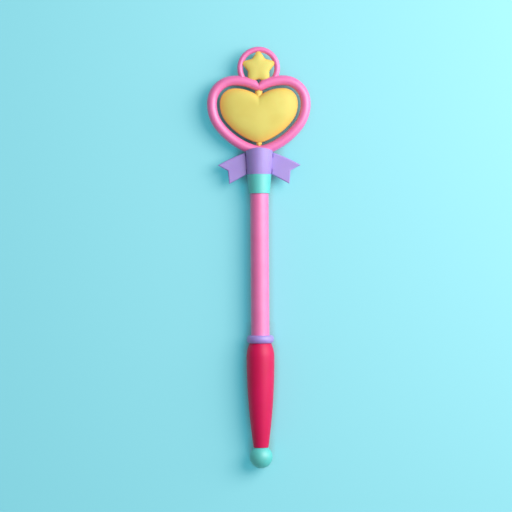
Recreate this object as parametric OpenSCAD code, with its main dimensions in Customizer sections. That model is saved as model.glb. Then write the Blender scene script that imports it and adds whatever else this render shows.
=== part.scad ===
// Toy magic wand lying on its back, front face up.
// X runs across the wand, Y along it towards the star, Z up out of its front face.
// The stations named ..._y run along the wand from the bottom of the end ball.

/* [End ball] */
// Diameter of the ball on the handle's end
ball_d = 20; // [17:0.1:22]
// Depth that the ball sits in the grip's cupped foot
ball_seat = 1.9; // [1.2:0.1:2.4]
// Diameter of the stud that holds the ball in the grip
stud_d = 7; // [5:0.1:8]
// Length of the stud above the ball's top
stud_len = 14; // [8:0.5:20]

/* [Grip] */
// Length of the grip between the ball and the ring
grip_len = 90.8; // [80:0.1:105]
// Diameter of the grip at its bulge
grip_d = 24.2; // [22.5:0.1:27]
// Diameter of the grip at its foot
grip_foot_d = 12.9; // [12:0.1:15]
// Diameter of the grip under the ring
grip_top_d = 18.6; // [17.5:0.1:20]
// Length of the rounded shoulder from the bulge to the ring
grip_shoulder = 11.9; // [9:0.1:15]

/* [Grip ring] */
// Diameter of the rounded ring over its crown
ring_d = 23.7; // [21:0.1:26]
// Diameter of the ring at its two faces
ring_face_d = 20.4; // [19:0.1:21]
// Height of the ring along the wand
ring_h = 6.8; // [5:0.1:9]

/* [Shaft] */
// Outside diameter of the shaft tube
shaft_d = 16; // [15:0.1:16.8]
// Wall of the shaft tube
shaft_wall = 2; // [1.5:0.1:2.4]
// Length of shaft that shows between ring and sleeve
shaft_show = 123.4; // [90:0.1:150]
// Length of shaft inside the grip
shaft_in_grip = 52; // [30:0.5:60]

/* [Neck sleeve] */
// Height of the sleeve below the collar
sleeve_h = 16.7; // [12:0.1:22]
// Diameter of the sleeve at its top
sleeve_top_d = 21.3; // [20:0.1:23]
// Diameter of the sleeve at its foot
sleeve_foot_d = 17.7; // [17.4:0.1:19]
// Chamfer on the edges of the turned pieces
edge_break = 0.3; // [0.1:0.1:0.5]

/* [Ribbon collar] */
// Height of the collar from the sleeve to its crown
collar_h = 22.8; // [19:0.1:26]
// Diameter of the collar at its crown
collar_top_d = 24.4; // [22:0.1:27]
// Diameter of the collar at its foot
collar_foot_d = 21.2; // [19:0.1:22]
// Radius of the arched crown, seen from the front
crown_r = 28; // [24:0.5:40]
// Length of the spigot that goes down into the shaft
spigot_len = 22; // [12:0.5:30]

/* [Ribbon tails] */
// Thickness of a ribbon tail
ribbon_t = 3.2; // [1.8:0.1:4]
// Distance from the crown down to the tail's upper root
root_drop = 3.9; // [3:0.1:5]
// Distance from the axis to the upper point of the swallowtail
upper_reach = 36.2; // [30:0.1:42]
// Distance from the crown down to the upper point
upper_drop = 14.9; // [12:0.1:17]
// Distance from the axis to the notch
notch_reach = 27.3; // [25.5:0.1:28.5]
// Distance from the crown down to the notch
notch_drop = 19.8; // [18:0.1:21]
// Distance from the axis to the lower point
lower_reach = 26.2; // [22:0.1:27]
// Distance from the crown down to the lower point
lower_drop = 31.2; // [28:0.1:34]
// Bow of the upper edge out from a straight line
tail_bow = 0.6; // [0:0.1:1.5]
// Rounding of the tail's points
tail_round = 0.5; // [0.4:0.1:1]
// Depth of the tab that plugs into the collar
tab_depth = 4; // [2:0.1:5]
// Height of the tab
tab_h = 11; // [8:0.1:13]

/* [Heart frame] */
// Diameter of the heart's round frame
tube_d = 8.8; // [8:0.1:9.6]
// Distance from the axis to the middle of a lobe
lobe_x = 21.3; // [19:0.1:23]
// Radius of the lobe
lobe_r = 19.4; // [17:0.1:22]
// Radius of the flatter arc from the lobe to the cleft
top_r = 40.3; // [34:0.1:46]
// Angle on the lobe where the top arc starts
top_join = 88; // [80:1:94]
// Radius of the upper side
side_r = 31.2; // [26:0.1:36]
// Angle on the lobe where the side starts
side_join = 6; // [-5:1:15]
// Radius of the lower side
low_r = 61; // [52:0.5:75]
// Angle where the lower side starts
low_join = -38; // [-44:1:-32]
// Radius of the bottom
foot_r = 19.3; // [15:0.1:24]
// Radius left in the groove of the cleft
cleft_fillet = 0.8; // [0.4:0.1:2]
// Distance from the crown down to the frame's middle line at the bottom
frame_sink = 2.1; // [1.2:0.1:3]
// Diameter of the stem under the frame
stem_d = 8; // [7:0.1:8]
// Length of the stem below the frame's middle line
stem_len = 40; // [28:0.5:50]
// Diameter of the pegs that line up two halves
peg_d = 2.4; // [1.6:0.1:3]
// Length of a peg beyond the parting face
peg_len = 2.4; // [1.6:0.1:3]

/* [Turning heart] */
// Gap between the frame and the heart
heart_gap = 2.4; // [1.6:0.1:3.5]
// Thickness of the heart at its crown
heart_t = 16; // [12:0.5:20]
// Height of the straight edge on each half
heart_edge = 0.9; // [0.5:0.1:1.5]
// Wall of the two shells
heart_wall = 2; // [1.4:0.1:2.4]
// Distance from the lobes' middles down to the crown of the heart
heart_crown_drop = 6; // [3:0.5:10]
// Fullness of the puffed face: 1 falls off as an ellipse does, less stays flat for longer
heart_puff_share = 0.8; // [0.6:0.05:1]
// Diameter of the axle inside the heart
axle_d = 4.8; // [4.2:0.1:5.4]
// Diameter of the post above the cleft
post_d = 6.4; // [5:0.1:7]
// Diameter of the journals that turn in the frame
journal_d = 3.2; // [2.6:0.1:3.6]
// Length of each journal inside the frame
journal_len = 5; // [4:0.1:5.4]

/* [Star and hoop] */
// Outside diameter of the hoop
hoop_d = 37.2; // [34:0.1:40]
// Thickness of the hoop's round bar
hoop_t = 4.9; // [4.2:0.1:5.6]
// Height of the hoop's middle above its feet on the frame
hoop_rise = 12; // [10:0.1:14]
// Height of the star's middle above the hoop's middle
star_rise = 0.1; // [-1:0.1:1]
// Diameter over the star's points
star_d = 32.8; // [30.5:0.1:34]
// Diameter over the star's valleys
star_valley_d = 19.4; // [16:0.1:21]
// Thickness of the star
star_t = 9; // [7:0.1:11]
// Height of the straight edge round the star
star_edge = 4; // [3:0.1:5]
// Rounding of the star's points
star_round = 2.8; // [1.5:0.1:3.2]
// Fullness of the star's puffed faces: 1 falls off as an ellipse does, less stays flat for longer
star_puff_share = 0.75; // [0.6:0.05:1]
// Diameter of the pegs that hold the star in the hoop
star_peg_d = 1.8; // [1.2:0.1:2.4]
// Depth of those pegs in the hoop's bar
star_peg_len = 1.8; // [1:0.1:2.2]

/* [Fits] */
// Gap round pieces that are glued or pressed together
fit_gap = 0.05; // [0.02:0.01:0.1]
// Gap round the journals, on the radius
run_gap = 0.05; // [0.02:0.01:0.1]
// Gap at the ends and shoulders of the axle
end_gap = 0.4; // [0.3:0.05:0.6]

/* [Hidden] */
$fn = 96;

// Colours of the mouldings
frame_pink = "#FBA0D6";
shaft_pink = "#F07DBB";
grip_magenta = "#DE2B68";
ribbon_purple = "#B9A2EC";
mint = "#86DED8";
yellow = "#E8DA7E";

// Overrun of every cut past the face that it opens
cut_over = 1;
// Facets of the full circle behind the grip's long arcs
long_arc_facets = 720;
// Steps on a rounded corner, on the tails' bowed edge, on the heart's arcs
// and from the edge to the crown of the heart and of the star
corner_steps = 4;
bow_steps = 6;
arc_steps = [8, 12, 6, 4, 4];
heart_steps = 8;
star_steps = 5;
// Stretches of the frame's bar run into each other by this lap, every other one thinner by this step
lap = 0.6;
lap_step = 0.05;

// Stations along the wand
grip_y = ball_d - ball_seat;
ring_y = grip_y + grip_len;
shaft_y = ring_y + ring_h;
sleeve_y = shaft_y + shaft_show;
collar_y = sleeve_y + sleeve_h;
crown_y = collar_y + collar_h;
foot_y = crown_y - frame_sink;

// Directions and arcs in the plane of the heart
function heading(a) = [cos(a), sin(a)];
function arc(c, r, from, to, steps) = [
    for (i = [0 : steps]) c + r * heading(from + (to - from) * i / steps)
];
function arc_on(c, r, from, to, steps) = [for (i = [1 : steps]) arc(c, r, from, to, steps)[i]];

// Middles of the heart's tangent arcs, measured from the axis level with the lobes
lobe_c = [lobe_x, 0];
top_c = lobe_c + (lobe_r - top_r) * heading(top_join);
side_c = lobe_c + (lobe_r - side_r) * heading(side_join);
low_c = side_c + (side_r - low_r) * heading(low_join);
foot_join = -acos(-low_c.x / (low_r - foot_r));
foot_c = low_c + (low_r - foot_r) * heading(foot_join);
cleft_r = tube_d / 2 + cleft_fillet;
cleft_c = [0, top_c.y + sqrt(pow(top_r + cleft_r, 2) - pow(top_c.x, 2))];
cleft_join = atan2(cleft_c.y - top_c.y, -top_c.x);

// Hoop: its feet stand on the middle line of the frame's top arc
hoop_r = (hoop_d - hoop_t) / 2;
hoop_end = -asin(hoop_rise / hoop_r);
hoop_foot_x = hoop_r * cos(hoop_end);
hoop_foot_y = top_c.y + sqrt(pow(top_r, 2) - pow(hoop_foot_x - top_c.x, 2));

// Stations of the head
heart_y = foot_y - foot_c.y + foot_r;
hoop_y = heart_y + hoop_foot_y + hoop_rise;
star_y = hoop_y + star_rise;
overall_len = hoop_y + hoop_d / 2;
axis_h = max(grip_d, collar_top_d, ring_d, ball_d) / 2;

// Axle: shoulders stand clear of the frame's inner edge, journals go on into it
cleft_edge_y = heart_y + cleft_c.y - cleft_r - tube_d / 2;
foot_inner_r = foot_r - tube_d / 2;
foot_edge_y = heart_y + foot_c.y - foot_inner_r;
low_shoulder_y = heart_y + foot_c.y - sqrt(pow(foot_inner_r, 2) - pow(axle_d / 2, 2)) + end_gap;
post_top_y = cleft_edge_y - end_gap;

// Heart: the frame's own arcs, set in from its middle line
heart_inset = tube_d / 2 + heart_gap;
function heart_half(inset) = concat(
    arc(top_c, top_r - inset, acos(-top_c.x / (top_r - inset)), top_join, arc_steps[0]),
    arc_on(lobe_c, lobe_r - inset, top_join, side_join, arc_steps[1]),
    arc_on(side_c, side_r - inset, side_join, low_join, arc_steps[2]),
    arc_on(low_c, low_r - inset, low_join, foot_join, arc_steps[3]),
    arc_on(foot_c, foot_r - inset, foot_join, -90, arc_steps[4])
);
function heart_outline(inset) =
    let (half = heart_half(inset))
        concat(half, [for (i = [len(half) - 2 : -1 : 1]) [-half[i].x, half[i].y]]);
heart_peak = [0, -heart_crown_drop];
heart_cleft_y = heart_y + heart_half(heart_inset)[0].y;
heart_tip_y = heart_y + foot_c.y - foot_r + heart_inset;

// Places of the lining-up pegs: on the frame as angles of its arcs, in the heart as a share of the way out
lobe_peg_angle = 50;
side_peg_angle = -16;
low_peg_angle = -54;
frame_pegs = [
    lobe_c + lobe_r * heading(lobe_peg_angle),
    side_c + side_r * heading(side_peg_angle),
    low_c + low_r * heading(low_peg_angle)
];
heart_post_share = 0.5;
heart_post_angle = 45;
heart_post_edge = lobe_c + (lobe_r - heart_inset) * heading(heart_post_angle);
heart_post = heart_peak + heart_post_share * (heart_post_edge - heart_peak);
heart_post_d = peg_d + 2 * heart_wall;

// Corners of an outline rounded by arcs, with one radius to each corner
function unit(v) = v / norm(v);
function corner(before, at, after, r) =
    let (
        back = unit(before - at),
        on = unit(after - at),
        half = acos(back * on) / 2,
        middle = at + unit(back + on) * r / sin(half),
        from = at + back * r / tan(half) - middle,
        to = at + on * r / tan(half) - middle,
        start = atan2(from.y, from.x),
        turn = atan2(from.x * to.y - from.y * to.x, from * to)
    )
    arc(middle, r, start, start + turn, corner_steps);
function rounded(points, radii) = [
    for (i = [0 : len(points) - 1])
        let (
            last = len(points) - 1,
            before = points[i == 0 ? last : i - 1],
            after = points[i == last ? 0 : i + 1]
        )
        each radii[i] == 0 ? [points[i]] : corner(before, points[i], after, radii[i])
];

// Star: points and valleys in turn, clockwise from the top
star_points = 5;
star_corners = 2 * star_points;
star_tip_r = star_d / 2;
star_valley_r = star_valley_d / 2;
star_outline = rounded(
    [
        for (i = [1 : star_corners])
            (i % 2 == 0 ? star_tip_r : star_valley_r) * heading(90 - 360 * i / star_corners)
    ],
    [for (i = [1 : star_corners]) star_round]
);

// Direction of the star's side points, and the way along it from the star's middle to the hoop's bar
star_side_angle = 90 - 360 / star_points;
hoop_inner_r = hoop_r - hoop_t / 2;
star_to_hoop = sqrt(pow(hoop_inner_r, 2) - pow(star_rise * cos(star_side_angle), 2))
    - star_rise * sin(star_side_angle);
star_peg_run = star_to_hoop - star_valley_r + star_peg_len;

// Rings of a puffed form: the outline shrinks towards its peak and climbs along a fuller quarter ellipse
function ring_at(outline, peak, share, z) = [for (p = outline) concat(peak + share * (p - peak), z)];
function puffed(outline, peak, edge, height, steps, puff) = [
    for (i = [0 : steps - 1])
        let (t = 90 * i / steps, share = pow(cos(t), puff))
            ring_at(outline, peak, share, puff_height(share, edge, height, puff))
];
function flipped(rings) = [
    for (i = [len(rings) - 1 : -1 : 0]) [for (p = rings[i]) [p.x, p.y, -p.z]]
];
function reversed(rings) = [for (i = [len(rings) - 1 : -1 : 0]) rings[i]];
function puff_height(share, edge, height, puff) =
    edge + (height - edge) * pow(1 - pow(share, 2 / puff), puff / 2);

// Tail of the ribbon, from its upper root round the swallowtail to the collar's foot
function flank_r(y) = collar_foot_d / 2 + (collar_top_d - collar_foot_d) / 2 * (y - collar_y) / collar_h;
root_y = crown_y - root_drop;
tab_foot_y = (root_y + collar_y - tab_h) / 2;
tab_top_y = tab_foot_y + tab_h;
tab_root = flank_r(collar_y) - tab_depth;
tail_root = [flank_r(root_y) + fit_gap, root_y];
tail_point = [upper_reach, crown_y - upper_drop];
tail_run = tail_point - tail_root;
tail_out = [-tail_run.y, tail_run.x] / norm(tail_run);
bow_edge = [
    for (i = [1 : bow_steps - 1])
        let (share = i / bow_steps)
            tail_root + share * tail_run + 4 * share * (1 - share) * tail_bow * tail_out
];
tail_corners = concat(
    [tail_root],
    bow_edge,
    [
        tail_point,
        [notch_reach, crown_y - notch_drop],
        [lower_reach, crown_y - lower_drop],
        [flank_r(collar_y) + fit_gap, collar_y],
        [flank_r(tab_foot_y) + fit_gap, tab_foot_y],
        [tab_root, tab_foot_y],
        [tab_root, tab_top_y],
        [flank_r(tab_top_y) + fit_gap, tab_top_y]
    ]
);
tail_radii = concat(
    [for (i = [1 : bow_steps]) 0],
    [tail_round, tail_round, tail_round, 0, 0, 0, 0, 0]
);

// Places a piece in the lying wand
module laid() {
    translate([0, -overall_len / 2, axis_h])
        children();
}

// Repeats a shape on both sides of the axis
module both_sides() {
    children();
    mirror([1, 0, 0])
        children();
}

// Turned piece from a profile of radius and station
module turned() {
    rotate([-90, 0, 0])
        rotate_extrude()
            children();
}

// Round bar along the wand
module rod(d, from, to) {
    translate([0, from, 0])
        rotate([-90, 0, 0])
            cylinder(d = d, h = to - from);
}

// Section swept along one arc in the plane of the heart
module bend(c, r, from, to) {
    translate([c.x, c.y, 0])
        rotate([0, 0, from])
            rotate_extrude(angle = to - from)
                translate([r, 0])
                    children();
}

// Round section, or its front half
module section(d, halved) {
    if (halved)
        intersection() {
            circle(d = d);
            translate([-d / 2, 0])
                square([d, d / 2]);
        }
    else
        circle(d = d);
}

// Stretch of the frame's bar that runs into the stretches at its two ends
module lapped_stretch(c, r, from, to, d, halved) {
    over = lap / r * 180 / PI;
    bend(c, r, from - over, to + over)
        section(d - 2 * lap_step, halved);
}

// Stretch of the frame's bar that takes its neighbours in
module plain_stretch(c, r, from, to, d, halved) {
    bend(c, r, from, to)
        section(d, halved);
}

// Bottom and lower sides of the frame
module frame_foot(d, halved) {
    lapped_stretch(foot_c, foot_r, -180 - foot_join, foot_join, d, halved);
    both_sides()
        plain_stretch(low_c, low_r, foot_join, low_join, d, halved);
}

// Top of the frame, from lobe to lobe through the cleft
module frame_top(d, halved) {
    both_sides()
        plain_stretch(lobe_c, lobe_r, side_join, top_join, d, halved);
    both_sides()
        lapped_stretch(top_c, top_r, top_join, cleft_join, d, halved);
    plain_stretch(cleft_c, cleft_r, 360 - cleft_join, 180 + cleft_join, d, halved);
}

// Front half of the whole bar of the frame
module frame_bar() {
    frame_foot(tube_d, true);
    both_sides()
        lapped_stretch(side_c, side_r, low_join, side_join, tube_d, true);
    frame_top(tube_d, true);
}

// Middle line of the hoop swept by a round bar
module hoop_bar(d, past) {
    translate([0, hoop_y, 0])
        bend([0, 0], hoop_r, hoop_end - past, 180 - hoop_end + past)
            circle(d = d);
}

// Closed skin through a row of rings between two points
module skin(first, rings, last) {
    n = len(rings[0]);
    count = len(rings);
    end = count * n + 1;
    polyhedron(
        points = concat([first], [for (r = rings) each r], [last]),
        faces = concat(
            [for (i = [0 : n - 1]) [0, 1 + (i + 1) % n, 1 + i]],
            [
                for (j = [0 : count - 2], i = [0 : n - 1])
                    let (a = 1 + j * n + i, b = 1 + j * n + (i + 1) % n)
                        each [[a, b, a + n], [b, b + n, a + n]]
            ],
            [for (i = [0 : n - 1]) [end, end - n + i, end - n + (i + 1) % n]]
        )
    );
}

// Half of the heart frame: half-round bar and stem, with the axle's bearings and the hoop's sockets
module frame_half() {
    difference() {
        union() {
            translate([0, heart_y, 0])
                frame_bar();
            intersection() {
                rod(stem_d, foot_y - stem_len, foot_y);
                translate([-stem_d, foot_y - stem_len - cut_over, 0])
                    cube([2 * stem_d, stem_len + 2 * cut_over, stem_d]);
            }
        }
        rod(journal_d + 2 * run_gap, cleft_edge_y - cut_over, cleft_edge_y + journal_len);
        rod(journal_d + 2 * run_gap, foot_edge_y - journal_len, foot_edge_y + cut_over);
        hoop_bar(hoop_t + 2 * fit_gap, fit_gap / hoop_r * 180 / PI);
    }
}

// Puffed half of the heart, hollow, with a middle post and a bored wall at each end for the axle
module heart_shell() {
    half_t = heart_t / 2;
    outer = heart_outline(heart_inset);
    inner = heart_outline(heart_inset + heart_wall);
    post_h = puff_height(heart_post_share, heart_edge, half_t, heart_puff_share) - heart_wall / 2;
    rings = concat(
        reversed(puffed(inner, heart_peak, 0, half_t - heart_wall, heart_steps, heart_puff_share)),
        [ring_at(outer, heart_peak, 1, 0)],
        puffed(outer, heart_peak, heart_edge, half_t, heart_steps, heart_puff_share)
    );
    translate([0, heart_y, 0])
        difference() {
            union() {
                skin(concat(heart_peak, half_t - heart_wall), rings, concat(heart_peak, half_t));
                translate(heart_peak)
                    cylinder(d = axle_d + 2 * heart_wall, h = half_t - heart_wall / 2);
                both_sides()
                    translate(heart_post)
                        cylinder(d = heart_post_d, h = post_h);
            }
            translate([0, -heart_y, 0])
                rod(axle_d + 2 * fit_gap, heart_tip_y - cut_over, heart_cleft_y + cut_over);
            translate([0, -heart_y, 0])
                rod(post_d + 2 * fit_gap, heart_cleft_y - heart_wall, post_top_y + cut_over);
        }
}

module heart_frame_front() {
    color(frame_pink)
        laid()
            difference() {
                frame_half();
                translate([0, heart_y, -cut_over])
                    both_sides()
                        for (p = frame_pegs)
                            translate(p)
                                cylinder(d = peg_d + 2 * fit_gap, h = cut_over + peg_len + fit_gap);
            }
}

module heart_frame_rear() {
    color(frame_pink)
        laid()
            union() {
                mirror([0, 0, 1])
                    frame_half();
                translate([0, heart_y, -peg_len])
                    both_sides()
                        for (p = frame_pegs)
                            translate(p)
                                cylinder(d = peg_d, h = 2 * peg_len);
            }
}

module heart_shell_front() {
    color(yellow)
        laid()
            difference() {
                heart_shell();
                translate([0, heart_y, -cut_over])
                    both_sides()
                        translate(heart_post)
                            cylinder(d = peg_d + 2 * fit_gap, h = cut_over + peg_len + fit_gap);
            }
}

module heart_shell_rear() {
    color(yellow)
        laid()
            union() {
                mirror([0, 0, 1])
                    heart_shell();
                translate([0, heart_y, -peg_len])
                    both_sides()
                        translate(heart_post)
                            cylinder(d = peg_d, h = 2 * peg_len);
            }
}

module heart_axle() {
    color(yellow)
        laid()
            turned()
                polygon([
                    [0, foot_edge_y - journal_len + end_gap],
                    [journal_d / 2, foot_edge_y - journal_len + end_gap],
                    [journal_d / 2, low_shoulder_y],
                    [axle_d / 2, low_shoulder_y],
                    [axle_d / 2, heart_cleft_y - heart_wall],
                    [post_d / 2, heart_cleft_y - heart_wall],
                    [post_d / 2, post_top_y],
                    [journal_d / 2, post_top_y],
                    [journal_d / 2, cleft_edge_y + journal_len - end_gap],
                    [0, cleft_edge_y + journal_len - end_gap]
                ]);
}

// Pegs from the star's side points into the hoop
module star_pegs(gap) {
    for (side = [-1, 1])
        translate([0, star_y, 0])
            rotate([0, 0, 90 + side * (90 - star_side_angle)])
                rotate([0, 90, 0])
                    translate([0, 0, star_valley_r])
                        cylinder(d = star_peg_d + 2 * gap, h = star_peg_run + gap);
}

module star_hoop() {
    color(frame_pink)
        laid()
            difference() {
                hoop_bar(hoop_t, 0);
                star_pegs(fit_gap);
            }
}

module star() {
    half_t = star_t / 2;
    front = puffed(star_outline, [0, 0], star_edge / 2, half_t, star_steps, star_puff_share);
    color(yellow)
        laid()
            union() {
                difference() {
                    translate([0, star_y, 0])
                        skin([0, 0, -half_t], concat(flipped(front), front), [0, 0, half_t]);
                    hoop_bar(hoop_t + 2 * fit_gap, 0);
                    translate([0, heart_y, 0])
                        frame_top(tube_d + 2 * fit_gap, false);
                }
                star_pegs(0);
            }
}

module ribbon_collar() {
    color(ribbon_purple)
        laid()
            difference() {
                union() {
                    intersection() {
                        turned()
                            polygon([
                                [0, collar_y],
                                [collar_foot_d / 2 - edge_break, collar_y],
                                [flank_r(collar_y + edge_break), collar_y + edge_break],
                                [collar_top_d / 2, crown_y],
                                [0, crown_y]
                            ]);
                        translate([0, crown_y - crown_r, 0])
                            cylinder(r = crown_r, h = 2 * collar_top_d, center = true);
                    }
                    rod(shaft_d - 2 * shaft_wall - 2 * fit_gap, collar_y - spigot_len, collar_y);
                }
                rod(stem_d + 2 * fit_gap, collar_y - spigot_len - cut_over, foot_y);
                translate([0, heart_y, 0])
                    frame_foot(tube_d + 2 * fit_gap, false);
                both_sides()
                    translate([tab_root - fit_gap, tab_foot_y - fit_gap, -ribbon_t / 2 - fit_gap])
                        cube([collar_top_d / 2, tab_h + 2 * fit_gap, ribbon_t + 2 * fit_gap]);
            }
}

// Swallowtail plate with its tab
module ribbon_tail() {
    laid()
        translate([0, 0, -ribbon_t / 2])
            linear_extrude(ribbon_t)
                polygon(rounded(tail_corners, tail_radii));
}

module ribbon_tail_left() {
    color(ribbon_purple)
        mirror([1, 0, 0])
            ribbon_tail();
}

module ribbon_tail_right() {
    color(ribbon_purple)
        ribbon_tail();
}

module neck_sleeve() {
    bore = shaft_d / 2 + fit_gap;
    color(mint)
        laid()
            turned()
                polygon([
                    [bore, sleeve_y],
                    [sleeve_foot_d / 2 - edge_break, sleeve_y],
                    [sleeve_foot_d / 2, sleeve_y + edge_break],
                    [sleeve_top_d / 2, collar_y - edge_break],
                    [sleeve_top_d / 2 - edge_break, collar_y],
                    [bore, collar_y]
                ]);
}

module shaft_tube() {
    color(shaft_pink)
        laid()
            difference() {
                rod(shaft_d, ring_y - shaft_in_grip, collar_y);
                rod(shaft_d - 2 * shaft_wall, ring_y - shaft_in_grip - cut_over, collar_y + cut_over);
            }
}

module grip_ring() {
    bore = shaft_d / 2 + fit_gap;
    crown = (ring_d - ring_face_d) / 2;
    crown_arc_r = (crown * crown + ring_h * ring_h / 4) / (2 * crown);
    color(ribbon_purple)
        laid()
            turned()
                intersection() {
                    translate([bore, ring_y])
                        square([ring_d / 2 - bore, ring_h]);
                    translate([ring_d / 2 - crown_arc_r, ring_y + ring_h / 2])
                        circle(r = crown_arc_r);
                }
}

// Part of the grip's profile on one side of its bulge: an arc that leaves the bulge upright
module grip_side(end_d, length, up) {
    fall = (grip_d - end_d) / 2;
    r = (fall * fall + length * length) / (2 * fall);
    bulge_y = ring_y - grip_shoulder;
    intersection() {
        translate([grip_d / 2 - r, bulge_y])
            circle(r = r, $fn = long_arc_facets);
        translate([0, up ? bulge_y : bulge_y - length])
            square([grip_d, length]);
    }
}

module grip() {
    color(grip_magenta)
        laid()
            difference() {
                turned()
                    union() {
                        grip_side(grip_foot_d, grip_len - grip_shoulder, false);
                        grip_side(grip_top_d, grip_shoulder, true);
                    }
                rod(shaft_d + 2 * fit_gap, ring_y - shaft_in_grip, ring_y + cut_over);
                rod(stud_d + 2 * fit_gap, grip_y - cut_over, ring_y - shaft_in_grip + cut_over);
                translate([0, ball_d / 2, 0])
                    sphere(d = ball_d + 2 * fit_gap);
            }
}

module end_ball() {
    color(mint)
        laid()
            union() {
                translate([0, ball_d / 2, 0])
                    sphere(d = ball_d);
                rod(stud_d, ball_d / 2, ball_d + stud_len);
            }
}

heart_frame_front();
heart_frame_rear();
heart_shell_front();
heart_shell_rear();
heart_axle();
star_hoop();
star();
ribbon_collar();
ribbon_tail_left();
ribbon_tail_right();
neck_sleeve();
shaft_tube();
grip_ring();
grip();
end_ball();
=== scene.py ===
# %% [markdown]
# # A toy magic wand, piece by piece
# The wand is a row of moulded plastic pieces on one straight axis: an end ball, a bulged grip, a
# ring, a long shaft, a sleeve and a collar with two ribbon tails. The head is a round heart-shaped
# rim with a puffed heart that turns inside it, and a star in a hoop on top.
# Each piece is modelled here over the solid that it stands for, so we start by loading those solids.
# They already lie in the right place, at the right size, in metres.

# %% Load the frame
import math

import bmesh
import bpy
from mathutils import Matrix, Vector


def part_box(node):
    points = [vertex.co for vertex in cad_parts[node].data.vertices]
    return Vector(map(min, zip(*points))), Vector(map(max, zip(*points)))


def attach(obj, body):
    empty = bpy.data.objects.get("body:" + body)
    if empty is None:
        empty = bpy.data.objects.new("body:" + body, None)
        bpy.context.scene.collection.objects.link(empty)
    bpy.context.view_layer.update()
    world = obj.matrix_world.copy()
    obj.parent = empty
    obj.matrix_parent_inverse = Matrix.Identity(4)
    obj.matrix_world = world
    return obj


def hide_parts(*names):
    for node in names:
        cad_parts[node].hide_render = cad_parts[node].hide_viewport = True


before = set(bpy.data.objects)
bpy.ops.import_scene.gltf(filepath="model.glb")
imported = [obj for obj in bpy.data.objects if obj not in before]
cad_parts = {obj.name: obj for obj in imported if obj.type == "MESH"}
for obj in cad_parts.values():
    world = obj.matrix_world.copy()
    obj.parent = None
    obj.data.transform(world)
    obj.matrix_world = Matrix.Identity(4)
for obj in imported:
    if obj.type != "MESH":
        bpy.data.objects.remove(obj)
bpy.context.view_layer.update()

print("solids:", ", ".join(sorted(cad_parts)))

# %% [markdown]
# ## Where the pieces are
# X runs across the wand, Y along it towards the star and Z up out of its front face. A turned piece
# is fixed by its two ends and its radius, and the boxes of the solids give us those. We read them
# once and give each a plain name, so that no place has to be typed in by hand.

# %% Read the stations along the wand
MM = 0.001


def ends(node):
    """The two ends of a solid along the wand."""
    low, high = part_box(node)
    return low.y, high.y


def radius_of(node):
    """The largest radius of a turned solid."""
    low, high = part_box(node)
    return (high.z - low.z) / 2


shaft_low, shaft_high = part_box("shaft_tube")
axis_z = (shaft_low.z + shaft_high.z) / 2
ball_y, stud_y = ends("end_ball")
grip_y, ring_y = ends("grip")
shaft_y = ends("grip_ring")[1]
sleeve_y, collar_y = ends("neck_sleeve")
spigot_y, crown_y = ends("ribbon_collar")
print(f"axis {axis_z / MM:.1f} mm up, crown of the collar at {crown_y / MM:.1f} mm")

# %% [markdown]
# ## Helpers for working as by hand
# Every operator acts on what is selected, and the loaded solids are still selected. So each step
# first selects one piece alone, and then the vertices that it needs, by their place.

# %% Select one piece, and vertices in it
def alone(piece):
    """Selects one object and no other, and makes it the active one."""
    bpy.ops.object.select_all(action="DESELECT")
    piece.select_set(True)
    bpy.context.view_layer.objects.active = piece


def named(name):
    """Names the object that was just added and puts its place into its mesh."""
    piece = bpy.context.object
    piece.name = piece.data.name = name
    bpy.ops.object.transform_apply(location=True, rotation=True, scale=True)
    return piece


def pick(piece, wanted):
    """Goes into edit mode with only those vertices selected whose place passes the test."""
    alone(piece)
    bpy.ops.object.mode_set(mode="EDIT")
    bpy.ops.mesh.select_mode(type="VERT")
    mesh = bmesh.from_edit_mesh(piece.data)
    for vertex in mesh.verts:
        vertex.select = wanted(vertex.co)
    mesh.select_flush_mode()
    bmesh.update_edit_mesh(piece.data)


# %% Apply a modifier, tidy a mesh
MERGE = 0.004 * MM
SMOOTH_ANGLE = math.radians(40)
ROUND_ANGLE = math.radians(50)
ROUND_STEPS = 3


def modified(piece, kind, **settings):
    """Adds a modifier with these settings and applies it."""
    alone(piece)
    bpy.ops.object.modifier_add(type=kind)
    modifier = piece.modifiers[-1]
    for key, value in settings.items():
        setattr(modifier, key, value)
    bpy.ops.object.modifier_apply(modifier=modifier.name)


def tidied(piece):
    """Merges double vertices and turns every face outwards."""
    alone(piece)
    bpy.ops.object.mode_set(mode="EDIT")
    bpy.ops.mesh.select_all(action="SELECT")
    bpy.ops.mesh.remove_doubles(threshold=MERGE)
    bpy.ops.mesh.normals_make_consistent(inside=False)
    bpy.ops.object.mode_set(mode="OBJECT")
    return piece


def combined(piece, other, operation="DIFFERENCE"):
    """Cuts, trims or joins a piece with another one, which is then thrown away."""
    modified(piece, "BOOLEAN", operation=operation, object=other, solver="EXACT")
    bpy.data.objects.remove(other)
    return tidied(piece)


def bevelled(piece, width, segments, sharper_than):
    """Bevels the edges that are sharper than an angle."""
    modified(
        piece,
        "BEVEL",
        width=width,
        segments=segments,
        limit_method="ANGLE",
        angle_limit=sharper_than,
    )


def softened(piece, width):
    """Rounds the sharp edges, then shades the piece smooth."""
    bevelled(piece, width, ROUND_STEPS, ROUND_ANGLE)
    return shaded(piece)


def shaded(piece):
    """Shades round stretches smooth, and keeps flat faces flat by weighing normals by area."""
    alone(piece)
    bpy.ops.object.shade_smooth_by_angle(angle=SMOOTH_ANGLE)
    modified(piece, "WEIGHTED_NORMAL", keep_sharp=True)
    sizes = [round(length / MM, 1) for length in piece.dimensions]
    print(f"{piece.name}: {len(piece.data.polygons)} faces, {sizes} mm")
    return piece


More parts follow.
